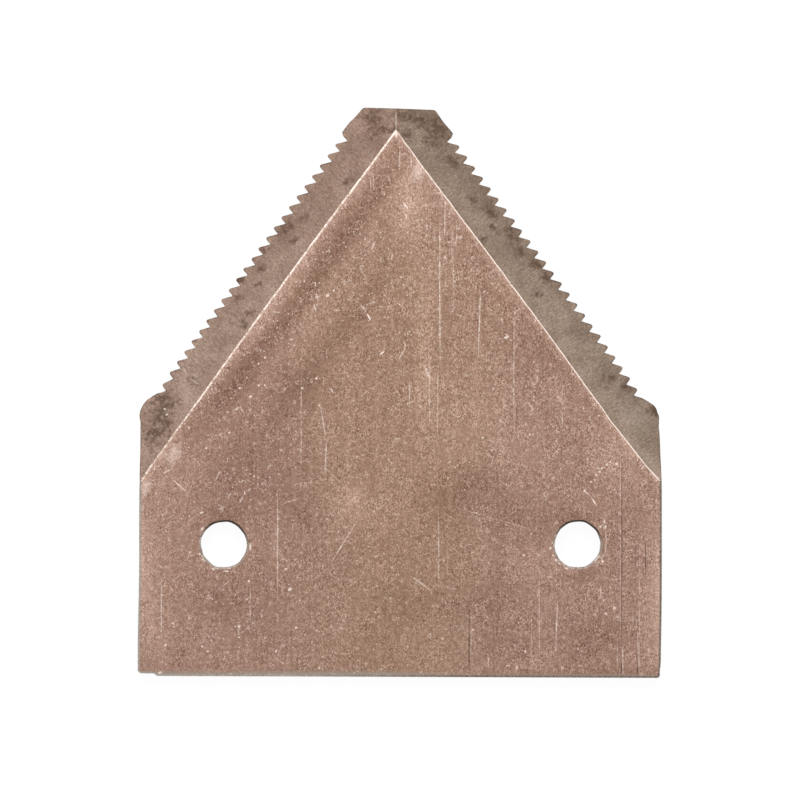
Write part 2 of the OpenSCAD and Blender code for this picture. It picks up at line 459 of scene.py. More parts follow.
# Spring steel left as rolled and tempered. The thin heat-tinted scale looks matt and pinkish brown, with a
# sandy grain, faint streaks along the blade, and pale specks and scratches where it is rubbed through to bare
# metal. Sizes are in mm. Spots are x, y, half length, half width and turn in degrees, scratches x, y to x, y.
land = {
    "rosy": ("#6e4d3d", "#a07f6e", "#d5b4a4"),   # dark, middle and pale of the scale at the sides
    "tan": ("#6e4e3b", "#9f7f6b", "#d5b5a1"),    # and in the middle
    "bare": "#f5e2d6",
    "pit": "#5e473d",
    "heel": "#9d9187",
    "grain": 0.18,
    "clump": 0.55,
    "patch": 2.5,         # patches of coarser grain
    "streak": 0.4,
    "streakLength": 16,
    "cloud": 14,
    "hueCloud": 12,
    "fleck": 0.55,        # spacing of the cells that may hold a fleck
    "fleckBend": 0.3,     # how coarsely the flecks' outlines are bent
    "fleckCloud": 5,
    "squiggle": 0.9,
    "squiggleBit": 0.8,
    "dot": 0.3,           # scratches are broken into dots
    "dash": 1.0,          # and dashes
    "scratchRules": {     # half breadth, and strength all along, in the dashes and in the dots
        "strong": (0.12, 0.15, 0.42, 0.38),
        "fair": (0.12, 0.05, 0.35, 0.2),
        "faint": (0.11, 0.0, 0.25, 0.18),
        "nicks": (0.15, 0.3, 0.0, 0.5),
    },
    "cutRules": {"cuts": (0.08, 0.55), "deepCuts": (0.12, 0.7)},    # half breadth and darkness
    "worn": (             # where flecks and curls gather
        (-26.0, 22.0, 14, 6, 53), (-12.0, 38.0, 16, 5, 53), (-2.0, 36.0, 12, 9, 0), (-20.0, 8.0, 9, 5, 0),
        (8.0, 40.0, 12, 6, -53), (22.0, 20.0, 12, 4, -53), (-27.0, -10.0, 9, 7, 0), (27.0, 12.0, 7, 5, 0),
    ),
    "band": ((-12.9, 37.6, 30, 2.4, 53.8),),     # where the wheel's guard rubbed, beside the left ridge
    "pales": (
        (0.8, 50.5, 7.0, 4.0, 90), (1.4, 48.0, 6.0, 4.0, 90), (2.6, 53.8, 2.0, 1.0, 90),
        (3.4, 26.0, 14, 2.0, 90), (31.0, 12.0, 8, 5.0, -50), (36.6, -6.0, 17, 2.6, 90),
        (37.2, -6.0, 18, 1.0, 90), (-35.5, 12.6, 4, 2.2, 53), (-32.6, 13.6, 3.0, 2.0, 60),
        (-7.5, 6.4, 3.5, 3.0, 60), (-36.5, -4.0, 12, 2.4, 90), (-18.4, 33.4, 15, 1.7, 53),
        (-35.0, -14.0, 7, 3.0, 90), (22.5, 22.0, 9, 3.0, -53), (-37.1, -1.0, 22, 0.45, 90),
        (-36.7, 8.7, 1.6, 0.8, 65), (-36.7, 8.5, 1.2, 0.6, 65),
    ),
    "darks": (
        (-14.4, 22.9, 6, 5, 50), (-26.0, 21.5, 12, 4, 53), (-22.0, 14.0, 12, 6, 50), (11.5, 9.2, 6, 4, -15),
        (22.3, 3.6, 5, 4.0, 60), (13.6, -8.0, 9, 6, 0), (28.0, -13.5, 8, 5, 0), (-13.7, 4.2, 5, 4, 0),
        # the first two spots on this line lie over the upper rim of each bolt hole, as painted shade there
        (-25.4, 3.8, 3.6, 2.0, 0), (25.6, 3.8, 3.6, 1.6, 0), (26.0, -4.6, 3.5, 1.2, 20),
        (21.0, 25.0, 17, 5, -53), (-8.5, 30.5, 18, 2.6, 53), (-20.0, 8.0, 13, 7, 20), (6.5, 7.0, 6, 5, 0),
        (29.1, 0.4, 2.6, 0.45, 92), (16.0, 3.0, 6, 5, 0), (2.0, -8.0, 9, 5, 0), (16.0, -14.0, 6, 4, 0),
        (-26.0, -8.0, 7, 5, 0),
    ),
    "hazes": ((13.0, 18.0, 16, 8, -40), (-5.0, 3.6, 8, 5, 0), (-33.5, 9.6, 7, 5, 50)),
    "smears": (
        (-36.4, 8.2, 2.0, 0.7, 65), (-32.6, 12.8, 2.0, 1.0, 65), (3.9, 24.7, 1.2, 0.3, -68),
        (2.7, 53.9, 2.4, 1.2, 62),
    ),
    "strong": (
        (5.68, 25.0, 5.58, 42.5), (6.4, 49.9, 6.3, 43.7), (11.5, 37.2, 11.1, 26.2),
        (-0.06, 57.0, -0.26, 53.6), (-11.64, 20.7, -10.74, 15.3), (31.9, -18.7, 31.9, -14.3),
        (-17.67, -7.9, -17.67, 8.2), (5.63, 47.3, 5.63, 36.5), (-10.22, -2.92, -5.92, 3.98),
        (-34.37, -13.6, -34.37, -4.7), (-10.67, 15.3, -10.87, 9.4), (1.53, 53.8, 1.53, 55.9),
        (22.55, -7.3, 22.25, -16.0), (18.2, 20.7, 19.2, 19.2),
    ),
    "fair": (
        (16.2, 15.7, 16.3, 35.8), (5.26, 15.0, 5.36, 26.5), (1.27, 19.1, 1.27, 24.3),
        (34.29, -18.7, 33.99, -12.0), (19.97, -17.3, 19.87, -3.1), (-14.27, 9.3, -14.27, 25.6),
        (28.9, 3.4, 29.4, 1.8), (29.4, 1.8, 29.6, 0.4), (29.6, 0.4, 29.3, -1.2), (29.3, -1.2, 28.7, -2.4),
        (28.7, -2.2, 27.8, -3.3), (5.45, -7.3, 5.45, 5.7), (4.13, 27.6, 4.13, 16.2),
        (28.73, -5.6, 28.73, -8.0), (-26.8, 8.9, -25.7, 11.0), (-26.2, 5.1, -25.0, 5.5),
        (34.4, 0.8, 35.0, 1.6), (23.2, 15.0, 23.2, 25.0), (-21.6, -11.6, -21.6, -5.2),
        (12.63, -15.5, 12.63, -18.0), (-12.14, -5.3, -12.34, -6.7), (-1.5, 38.0, -0.9, 36.5),
        (-23.1, 19.9, -22.3, 18.4), (-15.5, 3.1, -15.5, 2.1), (-17.2, -14.1, -16.7, -14.7),
        (-17.4, -16.7, -16.7, -17.1), (-5.9, 39.6, -4.9, 38.3), (9.4, 43.1, 9.8, 42.0),
        (-18.3, 0.1, -18.1, -0.9), (-3.9, 53.5, -3.9, 50.6), (-4.37, 53.0, -4.27, 50.9),
    ),
    "faint": (
        (31.57, -14.0, 31.57, 15.7), (-26.7, -6.8, -24.3, -5.0), (6.7, 5.7, 21.5, 1.4),
        (-12.0, 12.0, -7.5, 8.0), (-1.8, 24.2, 1.4, 25.0), (-17.0, 5.9, -14.1, 6.8),
        (13.4, 1.2, 14.1, -0.1), (7.34, 46.4, 7.34, 40.0), (8.06, 48.0, 7.96, 41.0),
        (1.39, 57.0, 1.39, 54.0), (18.8, -9.0, 18.8, -18.0), (31.13, -13.5, 31.13, -18.4),
        (34.3, 3.0, 34.3, -18.4), (7.66, 30.0, 7.46, 47.3), (15.6, 23.3, 16.3, 21.8),
        (10.23, -8.5, 10.03, -17.9),
    ),
    "nicks": (
        (-5.8, 34.6, -4.9, 33.3), (-4.9, 33.3, -4.2, 32.1), (0.37, 29.35, 0.77, 28.35),
        (0.77, 28.47, -0.43, 26.27), (-3.1, 27.2, -2.2, 27.9), (0.3, 49.1, 1.2, 48.2),
        (0.7, 47.7, 0.9, 46.7), (-24.0, 19.2, -23.1, 19.9), (-10.1, 22.5, -9.6, 21.7),
        (-24.8, 6.7, -24.3, 7.5), (-23.19, 5.9, -22.49, 7.2), (-22.3, 7.1, -22.5, 7.8),
        (-21.9, 7.7, -21.5, 8.1), (-30.5, -1.3, -30.0, -0.9), (-12.1, 36.2, -11.9, 35.0),
        (-12.5, 34.7, -12.1, 33.4), (-3.6, 43.7, -4.2, 42.3), (-1.2, 42.0, -1.3, 40.8),
        (26.4, 7.8, 27.3, 6.9), (27.3, 6.9, 28.3, 5.4), (16.5, -17.3, 16.9, -18.0),
        (14.4, 32.7, 14.7, 31.7), (-16.1, 29.4, -15.5, 29.5), (35.5, -15.0, 35.9, -15.6),
        (30.0, -5.8, 30.2, -6.5), (23.0, -17.4, 23.5, -17.9), (1.4, -4.4, 4.6, -6.8),
        (-32.85, 9.45, -30.45, 7.35), (-34.27, 10.12, -32.67, 11.02),
    ),
    "cuts": (
        (31.75, -18.4, 31.75, 15.7), (31.8, -8.4, 31.8, 6.4), (9.84, -13.0, 9.84, -8.0),
        (16.7, 16.2, 16.7, 21.0),
    ),
    "deepCuts": (
        (9.84, -18.8, 9.84, -12.0), (34.04, -18.8, 34.04, -16.8), (31.75, -18.8, 31.75, -16.5),
        (35.17, -4.4, 35.17, 0.6),
    ),
    "flecks": (
        (21.5, -0.5, 0.3, 0.22, 40), (21.9, -1.5, 0.2, 0.15, 60), (15.2, 29.8, 0.5, 0.25, 20),
        (-32.7, -11.3, 0.22, 0.2, 0), (-28.5, -14.6, 0.22, 0.2, 0), (-27.7, -15.3, 0.2, 0.2, 0),
        (-33.8, -14.4, 0.3, 0.2, 40), (-34.6, -18.4, 0.45, 0.22, 30), (-23.2, -11.7, 0.3, 0.2, 0),
        (-21.8, -5.2, 0.25, 0.22, 0), (-28.6, 4.6, 0.35, 0.2, 10), (-28.5, 2.3, 0.35, 0.2, 50),
        (27.3, 9.0, 0.18, 0.18, 0), (27.9, 9.3, 0.18, 0.18, 0), (28.1, 10.0, 0.22, 0.18, 0),
        (28.6, 10.5, 0.18, 0.18, 0), (28.9, 11.0, 0.22, 0.18, 40), (29.6, 11.5, 0.22, 0.18, 20),
        (30.1, 11.9, 0.18, 0.18, 0), (31.0, 11.6, 0.3, 0.22, 60), (-12.1, 23.9, 0.25, 0.18, 30),
        (-23.1, 22.5, 0.22, 0.2, 0), (-21.5, 21.3, 0.25, 0.2, 0), (-20.4, 22.9, 0.18, 0.18, 0),
        (-19.5, 22.9, 0.18, 0.18, 0), (-20.4, 26.0, 0.2, 0.2, 0), (-19.5, 26.9, 0.2, 0.2, 0),
        (-10.5, 35.8, 0.4, 0.25, 30), (-9.6, 36.5, 0.2, 0.2, 0), (-14.1, 22.5, 0.2, 0.2, 0),
        (-11.7, 20.0, 0.2, 0.2, 0), (-24.6, 16.1, 0.2, 0.2, 0), (-27.9, 13.9, 0.2, 0.2, 0),
        (-30.4, 16.8, 0.2, 0.2, 0), (-15.0, -11.9, 0.25, 0.2, 0), (-17.9, -15.3, 0.25, 0.2, 40),
        (-15.9, -6.4, 0.4, 0.3, 30), (-16.5, -3.5, 0.25, 0.2, 30), (-11.7, -17.7, 0.2, 0.2, 0),
        (30.7, -9.1, 0.3, 0.25, 60), (29.5, -9.9, 0.2, 0.2, 0), (17.9, -15.3, 0.2, 0.2, 0),
        (10.4, -12.2, 0.2, 0.2, 0), (11.8, 15.4, 0.2, 0.2, 0), (17.7, -1.5, 0.22, 0.2, 0),
        (-0.65, 59.0, 0.7, 0.35, 90), (-28.8, -1.3, 0.3, 0.2, 70), (-28.4, -2.1, 0.25, 0.2, 50),
        (-26.9, -3.5, 0.35, 0.2, -20), (-21.6, -0.3, 0.7, 0.2, 85), (-25.0, -3.8, 0.5, 0.15, 0),
        (21.8, 0.3, 0.16, 0.14, 0), (22.3, -2.2, 0.35, 0.2, -55), (22.8, -2.7, 0.3, 0.14, -45),
        (23.8, -3.4, 0.4, 0.16, -25), (28.7, 2.6, 0.25, 0.2, 0), (29.25, 3.35, 0.3, 0.18, 90),
        (29.42, 2.6, 0.3, 0.2, 60), (-4.55, 32.7, 0.6, 0.13, -60), (-2.65, 27.55, 0.5, 0.13, 38),
        (0.75, 48.65, 0.5, 0.13, -45), (26.45, 7.75, 0.3, 0.2, -50), (27.8, 6.2, 0.6, 0.1, -57),
        (29.0, -2.4, 0.3, 0.2, 60),
    ),
}


def heatTintedLand():
    material, tree, shader, place = newFinish("heat-tinted hot-rolled spring steel", 0.75, 0.5)
    past = put(tree, "Attribute", attribute_name="past").outputs["Fac"]
    axes = put(tree, "SeparateXYZ", {0: place}).outputs
    grain = grainOf(tree, place, land["grain"], 1.0, 0.6, 1.35, 90)
    clump = grainOf(tree, place, land["clump"])
    streak = grainOf(tree, place, land["streak"], 2.0, 0.6, land["streakLength"] / land["streak"], 90)
    cloud = grainOf(tree, place, land["cloud"])
    worn = put(tree, "MapRange", {0: marksOf(tree, place, land["worn"]), 1: 0.0, 2: 0.7}).outputs[0]
    pale = marksOf(tree, place, land["pales"], "ADD")
    dark = marksOf(tree, place, land["darks"], "ADD")
    haze = marksOf(tree, place, land["hazes"])
    band = put(tree, "MapRange", {0: marksOf(tree, place, land["band"]), 1: 0.0, 2: 0.7}).outputs[0]
    byRidge = put(tree, "MapRange", {0: past, 1: -1.3, 2: 0.0}).outputs[0]
    rubbed = put(tree, "Math", {0: byRidge, 1: byRidge}, operation="MULTIPLY", use_clamp=True).outputs[0]

    # the grain is coarse in some places and nearly rubbed smooth in others, most of all on the left
    patch = put(tree, "MapRange", {
        0: grainOf(tree, place, land["patch"], shift=55), 1: 0.3, 2: 0.7,
    }).outputs[0]
    coarse = weighted(tree, 0.46, ((patch, 0.95), (axes[0], 0.003), (axes[1], 0.0015)))
    coarseGrain = put(tree, "Math", {0: grain, 1: coarse}, operation="MULTIPLY").outputs[0]
    tone = weighted(tree, 0.02, ((coarseGrain, 1.4), (coarse, -0.7), (clump, 0.5), (streak, 0.2)))
    tone = weighted(tree, tone, ((cloud, 0.25), (pale, 0.16), (dark, -0.15), (haze, 0.09)))
    tone = weighted(tree, tone, ((band, -0.24), (rubbed, 0.25)))
    byHeel = put(tree, "Math", {
        0: put(tree, "MapRange", {0: axes[1], 1: heelY + 1.5, 2: heelY + 0.8}).outputs[0],
        1: put(tree, "MapRange", {0: axes[0], 1: 4.0, 2: 14.0}).outputs[0],
    }, operation="MULTIPLY", use_clamp=True).outputs[0]
    tone = weighted(tree, tone, ((byHeel, -0.1),))

    # tan in the middle, rosy towards the sides and the tip
    rosy, tan = (put(tree, "ValToRGB", {0: tone}, ((0.0, deep), (1.0, light), (0.5, between))).outputs[0]
                 for deep, between, light in (land["rosy"], land["tan"]))
    aside = put(tree, "Math", {0: axes[0]}, operation="ABSOLUTE").outputs[0]
    nearTip = put(tree, "MapRange", {0: axes[1], 1: 36.0, 2: 52.0, 4: 14.0}).outputs[0]
    aside = weighted(tree, nearTip, ((aside, 1.0), (grainOf(tree, place, land["hueCloud"], shift=40), 16.0)))
    hue = put(tree, "MapRange", {0: aside, 1: 12.0, 2: 26.0}).outputs[0]
    tint = put(tree, "Mix", {0: hue, 6: tan, 7: rosy}, data_type="RGBA").outputs[2]

    # flecks sit in some of the cells only, more of them where the grain clusters and along the ridges
    bent = put(tree, "TexNoise", {"Vector": place, "Scale": 1 / land["fleckBend"], "Detail": 1.0})
    bent = put(tree, "VectorMath", {0: bent.outputs["Color"], 1: (0.2, 0.2, 0), 2: place},
               operation="MULTIPLY_ADD").outputs[0]
    cells = put(tree, "TexVoronoi", {"Vector": bent, "Scale": 1 / land["fleck"]}, voronoi_dimensions="2D")
    luck = put(tree, "SeparateColor", {0: cells.outputs["Color"]}).outputs
    cluster = grainOf(tree, place, land["fleckCloud"], shift=25)
    chance = ((luck[0], 1.0), (cluster, 0.3), (byRidge, 0.2), (worn, 0.06), (axes[1], 0.0012))
    size = put(tree, "MapRange", {0: weighted(tree, -0.72, chance), 1: 0.18, 2: 0.48, 4: 0.23}).outputs[0]
    fleck = weighted(tree, size, ((cells.outputs["Distance"], -1.0),))
    fleck = put(tree, "Math", {
        0: put(tree, "MapRange", {0: fleck, 1: 0.0, 2: 0.06}).outputs[0],
        1: weighted(tree, 0.3, ((luck[1], 0.7),)),
    }, operation="MULTIPLY", use_clamp=True).outputs[0]

    # broken bits of contour lines give the curls, most of them where the land is worn
    dots = put(tree, "MapRange", {
        0: grainOf(tree, place, land["dot"], 1.0, 0.5, shift=90), 1: 0.42, 2: 0.6,
    }).outputs[0]
    dashes = put(tree, "MapRange", {
        0: grainOf(tree, place, land["dash"], 3.0, 0.7, shift=35), 1: 0.4, 2: 0.62,
    }).outputs[0]
    curl = weighted(tree, -0.5, ((grainOf(tree, place, land["squiggle"], shift=15), 1.0),))
    curl = put(tree, "Math", {0: curl}, operation="ABSOLUTE").outputs[0]
    bits = weighted(tree, grainOf(tree, place, land["squiggleBit"], shift=70), ((worn, 0.05),))
    curl = put(tree, "Math", {
        0: put(tree, "MapRange", {0: curl, 1: 0.035, 2: 0.012}).outputs[0],
        1: put(tree, "MapRange", {0: bits, 1: 0.58, 2: 0.64}).outputs[0],
    }, operation="MULTIPLY", use_clamp=True).outputs[0]
    curl = put(tree, "Math", {
        0: curl, 1: weighted(tree, 0.4, ((dots, 0.6),)),
    }, operation="MULTIPLY", use_clamp=True).outputs[0]

    # scratches, specks and smears show bare metal, cuts are dark
    scratched = {}
    for kind, (halfBreadth, even, inDashes, inDots) in land["scratchRules"].items():
        strength = weighted(tree, even, ((dashes, inDashes), (dots, inDots)))
        scratched[kind] = put(tree, "Math", {
            0: scratchesOf(tree, place, halfBreadth, land[kind]), 1: strength,
        }, operation="MULTIPLY", use_clamp=True).outputs[0]
    bare = weighted(tree, 0.0, ((fleck, 0.9), (curl, 0.5)))
    bare = weighted(tree, bare, [(scratch, 0.9) for scratch in scratched.values()])
    speck = put(tree, "MapRange", {0: marksOf(tree, place, land["flecks"]), 1: 0.0, 2: 0.6}).outputs[0]
    bare = weighted(tree, bare, ((speck, 0.85),))
    smear = put(tree, "MapRange", {0: marksOf(tree, place, land["smears"]), 1: 0.0, 2: 0.6}).outputs[0]
    smear = put(tree, "Math", {
        0: smear, 1: weighted(tree, -0.2, ((clump, 0.5), (grain, 0.5))),
    }, operation="MULTIPLY", use_clamp=True).outputs[0]
    bare = put(tree, "Math", {0: bare, 1: smear}, operation="ADD", use_clamp=True).outputs[0]
    cut = 0.0
    for kind, (halfBreadth, darkness) in land["cutRules"].items():
        oneCut = put(tree, "Math", {
            0: scratchesOf(tree, place, halfBreadth, land[kind]), 1: darkness,
        }, operation="MULTIPLY", use_clamp=True).outputs[0]
        cut = put(tree, "Math", {0: cut, 1: oneCut}, operation="MAXIMUM").outputs[0]

    # the heel is rubbed grey, broadly on the left and only along its lip on the right
    lip = put(tree, "MapRange", {0: axes[0], 1: -2.0, 2: 10.0, 4: 0.45}).outputs[0]
    heelGrey = put(tree, "MapRange", {
        0: weighted(tree, lip, ((axes[1], 1.0), (clump, 0.4))), 1: heelY + 1.2, 2: heelY + 0.6,
    }).outputs[0]
    tint = put(tree, "Mix", {0: heelGrey, 6: tint, 7: linear(land["heel"])}, data_type="RGBA").outputs[2]
    tint = put(tree, "Mix", {0: bare, 6: tint, 7: linear(land["bare"])}, data_type="RGBA").outputs[2]
    tint = put(tree, "Mix", {0: cut, 6: tint, 7: linear(land["pit"])}, data_type="RGBA").outputs[2]
    tree.links.new(tint, shader.inputs["Base Color"])
    relief = ((grain, 0.015), (clump, 0.015), (fleck, 0.03), (scratched["strong"], -0.02), (cut, -0.03))
    bump = put(tree, "Bump", {"Height": weighted(tree, 0.0, relief), "Distance": mm})
    tree.links.new(bump.outputs[0], shader.inputs["Normal"])
    rough = weighted(tree, 0.4, ((grain, 0.25), (bare, -0.1)))
    tree.links.new(rough, shader.inputs["Roughness"])
    return material


# The same steel ground to a bevel: greyer and smoother, with fine grinding lines across the edge, brown
# stains where damp has started to rust it, and a dark rim along the teeth. The right bevel has a darker copy
# of the left's colours, painted shade as if the light fell from the left. Sizes are in mm.
bevelFinish = {
    # the left colours, then the right ones a little darker as painted shade
    "left": ("#6f5646", "#9e8475", "#ceb4a5"),
    "right": ("#665144", "#958171", "#c5b1a2"),
    "stain": "#5b4536",
    "rim": "#493b31",
    "grain": 0.17,
    "line": 0.21,
    "lineLength": 7,
    "ragged": 0.75,      # breaks up the stains
    "toothStain": 2.2,
    "rimPatch": 1.2,
    "scratchBreadth": 0.16,
    "scratches": ((-31.4, 25.7, -30.5, 24.0), (-30.5, 24.0, -28.9, 23.0), (-0.64, 62.6, -0.66, 59.0)),
    "flecks": ((-33.9, 19.5, 0.25, 0.2, 0), (-33.6, 18.7, 0.3, 0.2, 40), (-36.0, 10.2, 0.3, 0.2, 0)),
    "bare": "#e2d2c6",
    "cloud": 3.5,
    "stains": (
        (-3.8, 61.0, 3.0, 2.2, 80), (-2.6, 59.6, 3.0, 1.8, 20), (-1.0, 59.6, 1.6, 1.2, 30),
        (0.9, 61.6, 3.2, 2.0, 0), (3.0, 60.6, 3.6, 2.0, -30), (5.0, 59.6, 3.0, 2.2, -40),
        (0.9, 58.7, 1.9, 1.6, 0), (4.3, 58.0, 2.2, 1.7, 0), (7.4, 55.1, 2.0, 1.1, -50),
        (10.5, 49.6, 1.6, 1.1, -50), (12.9, 47.9, 2.4, 1.5, -50), (13.1, 45.7, 1.6, 1.0, -50),
        (12.0, 44.0, 1.4, 1.0, 0), (15.9, 44.4, 2.2, 1.6, -50), (17.2, 42.0, 1.8, 1.2, -30),
        (19.5, 40.3, 2.0, 1.3, -50), (20.9, 38.2, 1.8, 1.3, -50), (19.8, 36.1, 1.4, 1.1, 0),
        (29.9, 23.9, 1.8, 1.2, 0), (32.5, 22.8, 2.0, 1.1, -30), (36.6, 19.3, 1.6, 1.2, 0),
        (-34.4, 17.8, 6.5, 3.4, 72), (-33.6, 20.6, 3.0, 2.4, 0), (-35.6, 15.8, 3.2, 2.6, 60),
        (-35.7, 13.6, 0.8, 0.7, 0), (-13.7, 47.0, 1.4, 0.9, 30), (-16.5, 45.2, 2.4, 1.7, 50),
        (-15.4, 43.7, 1.5, 0.9, 20), (-19.6, 42.4, 1.4, 1.1, 0), (-19.7, 39.8, 1.6, 1.0, 50),
        (-20.4, 37.4, 1.5, 1.0, 0), (-23.0, 38.0, 1.3, 0.9, 0), (-23.4, 35.4, 1.4, 0.9, 0),
        (-21.7, 33.2, 1.6, 1.0, 30), (-22.7, 31.8, 1.4, 1.0, 0), (-29.9, 23.6, 1.6, 1.1, 0),
        (-34.5, 21.0, 1.6, 1.2, 0), (-7.6, 52.2, 1.8, 0.9, 30),
    ),
}


def groundBevel():
    material, tree, shader, place = newFinish("surface-ground spring steel", 0.75, 0.45)
    past = put(tree, "Attribute", attribute_name="past").outputs["Fac"]
    axes = put(tree, "SeparateXYZ", {0: place}).outputs
    onRight = put(tree, "Math", {0: axes[0], 1: 0.0}, operation="GREATER_THAN").outputs[0]
    lowDown = put(tree, "MapRange", {0: axes[1], 1: 50.0, 2: 24.0}).outputs[0]
    grain = grainOf(tree, place, bevelFinish["grain"], 1.0, 0.6)
    longer = bevelFinish["lineLength"] / bevelFinish["line"]
    leftLine = grainOf(tree, place, bevelFinish["line"], 2.0, 0.6, longer, -degrees(edgeAngle))
    rightLine = grainOf(tree, place, bevelFinish["line"], 2.0, 0.6, longer, degrees(edgeAngle))
    line = put(tree, "Mix", {0: onRight, 2: leftLine, 3: rightLine}).outputs[0]
    cloud = grainOf(tree, place, bevelFinish["cloud"], 1.5)
    byTeeth = put(tree, "Math", {
        0: put(tree, "MapRange", {0: past, 1: 0.5, 2: 6.0}).outputs[0],
        1: weighted(tree, 0.3, ((onRight, 0.7),)),
    }, operation="MULTIPLY", use_clamp=True).outputs[0]
    tone = weighted(tree, -0.54, ((grain, 0.55), (line, 0.9), (cloud, 0.5), (byTeeth, -0.12)))
    tone = weighted(tree, tone, ((lowDown, 0.14), (onRight, 0.05)))
    # the right bevel takes the darker copy: painted shade for light falling from the left
    left, right = (put(tree, "ValToRGB", {0: tone}, ((0.0, deep), (1.0, light), (0.5, between))).outputs[0]
                   for deep, between, light in (bevelFinish["left"], bevelFinish["right"]))
    tint = put(tree, "Mix", {0: onRight, 6: left, 7: right}, data_type="RGBA").outputs[2]

    # stains gather by the teeth and in the placed spots, with ragged smoky borders
    spots = put(tree, "MapRange", {0: marksOf(tree, place, bevelFinish["stains"]), 1: 0.0, 2: 0.8}).outputs[0]
    ragged = grainOf(tree, place, bevelFinish["ragged"], 5.0, 0.75)
    patches = put(tree, "MapRange", {
        0: grainOf(tree, place, bevelFinish["toothStain"], shift=60), 1: 0.35, 2: 0.7,
    }).outputs[0]
    tooth = put(tree, "Math", {
        0: put(tree, "MapRange", {0: past, 1: 4.2, 2: 5.6}).outputs[0], 1: patches,
    }, operation="MULTIPLY", use_clamp=True).outputs[0]
    stain = weighted(tree, -2.45, ((ragged, 4.0), (spots, 0.95), (tooth, 0.65)))
    stain = put(tree, "MapRange", {0: stain, 1: -0.1, 2: 0.75, 4: 0.82}).outputs[0]
    tint = put(tree, "Mix", {0: stain, 6: tint, 7: linear(bevelFinish["stain"])}, data_type="RGBA").outputs[2]
    bare = scratchesOf(tree, place, bevelFinish["scratchBreadth"], bevelFinish["scratches"])
    bare = put(tree, "Math", {
        0: bare, 1: weighted(tree, 0.0, ((grain, 0.7),)),
    }, operation="MULTIPLY", use_clamp=True).outputs[0]
    speck = put(tree, "MapRange", {0: marksOf(tree, place, bevelFinish["flecks"]), 1: 0.0, 2: 0.6}).outputs[0]
    bare = weighted(tree, bare, ((speck, 0.8),))
    tint = put(tree, "Mix", {0: bare, 6: tint, 7: linear(bevelFinish["bare"])}, data_type="RGBA").outputs[2]
    rim = put(tree, "Attribute", attribute_name="rim").outputs["Fac"]
    rimPatch = put(tree, "MapRange", {
        0: grainOf(tree, place, bevelFinish["rimPatch"]), 1: 0.4, 2: 0.62,
    }).outputs[0]
    rim = put(tree, "Math", {
        0: rim, 1: weighted(tree, 0.1, ((rimPatch, 0.9),)),
    }, operation="MULTIPLY", use_clamp=True).outputs[0]
    tint = put(tree, "Mix", {0: rim, 6: tint, 7: linear(bevelFinish["rim"])}, data_type="RGBA").outputs[2]
    tree.links.new(tint, shader.inputs["Base Color"])
    relief = weighted(tree, 0.0, ((grain, 0.01), (line, 0.02)))
    bump = put(tree, "Bump", {"Height": relief, "Distance": mm})
    tree.links.new(bump.outputs[0], shader.inputs["Normal"])
    rough = weighted(tree, 0.38, ((line, 0.15), (stain, 0.2)))
    tree.links.new(rough, shader.inputs["Roughness"])
    return material


# Burr left by the wheel where bevel and land meet: bare metal, rubbed bright, and painted paler still as
# the highlight where the burr catches the light
ridgeFinish = {"dark": "#b79986", "pale": "#f8e8dc", "grain": 0.35}


def burnishedRidgeAndHighlight():
    material, tree, shader, place = newFinish("burnished steel burr with painted highlight", 0.4, 0.55)
    grain = grainOf(tree, place, ridgeFinish["grain"], 2.0, 0.6)
    side = put(tree, "SeparateXYZ", {0: place}).outputs[0]
    onRight = put(tree, "MapRange", {0: side, 1: -4.0, 2: 4.0}).outputs[0]
    leftLow = put(tree, "MapRange", {0: side, 1: -24.0, 2: -32.0}).outputs[0]
    tone = weighted(tree, grain, ((onRight, 0.08), (leftLow, -0.07)))
    # the pale end of this ramp is painted highlight along the ridge, over the burr's own bare metal
    tint = put(tree, "ValToRGB", {0: tone}, ((0.34, ridgeFinish["dark"]), (0.54, ridgeFinish["pale"])))
    tree.links.new(tint.outputs[0], shader.inputs["Base Color"])
    bump = put(tree, "Bump", {"Height": grain, "Distance": 0.02 * mm})
    tree.links.new(bump.outputs[0], shader.inputs["Normal"])
    return material


# Blanked edges: the upper part is rubbed smooth by the die, the lower part broke away rough and dark
edgeFinish = {
    "sheared": ("#6c5e54", "#a69587"),    # dark and pale
    "rubbed": ("#a3958b", "#d0c3b8"),     # on the left, where the edges are rubbed bright
    "bored": ("#574a42", "#8f7c6d"),      # in the bolt holes
    "drag": 0.3,
    "dragStretch": 0.08,                  # the drag lines stand upright
    "broken": 0.35,
    "torn": (1.9, 1.3),                   # height below which the steel broke away
}


def shearedEdge(name, tones, diesOut=None):
    material, tree, shader, place = newFinish(name, 0.7, 0.5)
    axes = put(tree, "SeparateXYZ", {0: place}).outputs
    upright = put(tree, "Mapping", {"Vector": place, "Scale": (1, 1, edgeFinish["dragStretch"])}).outputs[0]
    drag = grainOf(tree, upright, edgeFinish["drag"], 2.0, 0.6)
    broken = grainOf(tree, place, edgeFinish["broken"], 4.0, 0.7)
    torn = put(tree, "MapRange", {
        0: weighted(tree, 0.0, ((axes[2], 1.0), (drag, 0.8))),
        1: edgeFinish["torn"][0],
        2: edgeFinish["torn"][1],
    }).outputs[0]
    tone = put(tree, "Mix", {0: torn, 2: drag, 3: broken}).outputs[0]
    tint = put(tree, "ValToRGB", {0: tone}, zip((0.3, 0.7), tones)).outputs[0]
    if diesOut:    # to the right it turns into the plain sheared edge
        plain = put(tree, "ValToRGB", {0: tone}, zip((0.3, 0.7), edgeFinish["sheared"])).outputs[0]
        share = put(tree, "MapRange", {0: axes[0], 1: diesOut[0], 2: diesOut[1]}).outputs[0]
        tint = put(tree, "Mix", {0: share, 6: tint, 7: plain}, data_type="RGBA").outputs[2]
    tree.links.new(tint, shader.inputs["Base Color"])
    bump = put(tree, "Bump", {"Height": tone, "Distance": 0.04 * mm})
    tree.links.new(bump.outputs[0], shader.inputs["Normal"])
    rough = weighted(tree, 0.4, ((torn, 0.2),))
    tree.links.new(rough, shader.inputs["Roughness"])
    return material
